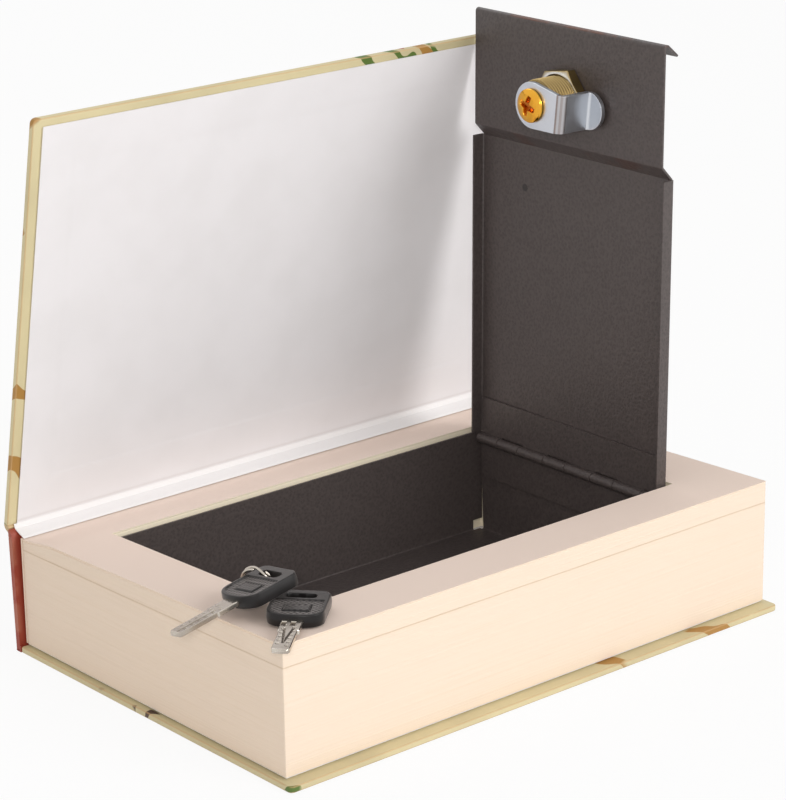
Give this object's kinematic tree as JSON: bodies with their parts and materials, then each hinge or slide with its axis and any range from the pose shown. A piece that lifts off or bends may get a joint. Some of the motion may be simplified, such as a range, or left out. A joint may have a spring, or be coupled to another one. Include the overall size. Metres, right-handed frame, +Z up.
{
  "type": "book diversion safe",
  "caption": "Hollow book with a folded steel cash box in its pages, a hinged steel lid with a cam lock, an opening front cover, and keys on a split ring.",
  "frame": {"origin": "on the underside of the back board, under the middle of the shut book", "axes": "+X along the spine towards the steel lid's hinge, +Y from the fore-edge to the spine, +Z up"},
  "size_m": [0.2602, 0.1754, 0.2214],
  "materials": {
    "cover_paper": "satin printed paper over board",
    "spine_cloth": "satin red-brown paper over board",
    "endpaper": "matte white paper",
    "page_paper": "matte cream leaves glued into a block",
    "painted_steel": "dark grey-brown hammered enamel",
    "bare_steel": "plain drawn wire",
    "bright_zinc": "bright zinc plate",
    "passivated_zinc": "yellow passivated zinc plate",
    "gold_screw": "yellow passivated screw",
    "black_plastic": "moulded black plastic with a fine texture",
    "key_metal": "nickel plate"
  },
  "bodies": {
    "book": {"back_board": "cover_paper", "back_joint": "spine_cloth", "spine_board": "spine_cloth", "back_endpaper": "endpaper", "lower_pages": "page_paper", "upper_pages": "page_paper", "spine_lining": "page_paper", "endpaper_joint": "endpaper", "cover_joint": "cover_paper", "steel_box": "painted_steel", "hinge_fixed_leaf": "painted_steel", "hinge_pin": "bare_steel"},
    "front_cover": {"front_board": "cover_paper", "front_pastedown": "endpaper"},
    "lid": {"lid_panel": "painted_steel", "hinge_moving_leaf": "painted_steel", "lock_body": "passivated_zinc", "lock_nut": "passivated_zinc"},
    "lock_plug": {"lock_plug": "bright_zinc", "lock_cam": "bright_zinc", "cam_screw": "gold_screw"},
    "keys": {"key_1_bow": "black_plastic", "key_1_blade": "key_metal", "key_2_bow": "black_plastic", "key_2_blade": "key_metal", "key_ring": "key_metal"}
  },
  "joints": [
    {"name": "cover_hinge", "type": "hinge", "parent": "book", "child": "front_cover", "pos_m": [0, 0.0823, 0.047], "axis": [-1, 0, 0], "range_deg": [0, 101.5], "deforming": ["cover_joint", "endpaper_joint"]},
    {"name": "lid_hinge", "type": "hinge", "parent": "book", "child": "lid", "pos_m": [0.0859, -0.00075, 0.0448], "axis": [0, 1, 0], "range_deg": [-90.84, 0]},
    {"name": "cam_turn", "type": "hinge", "parent": "lid", "child": "lock_plug", "pos_m": [0.08538, -0.00075, 0.19352], "axis": [0.9999, 0, -0.0147], "range_deg": [-96, 0]},
    {"name": "keys_lift", "type": "slide", "parent": "book", "child": "keys", "axis": [0, 0, 1], "range_m": [0, 0.04]}
  ]
}
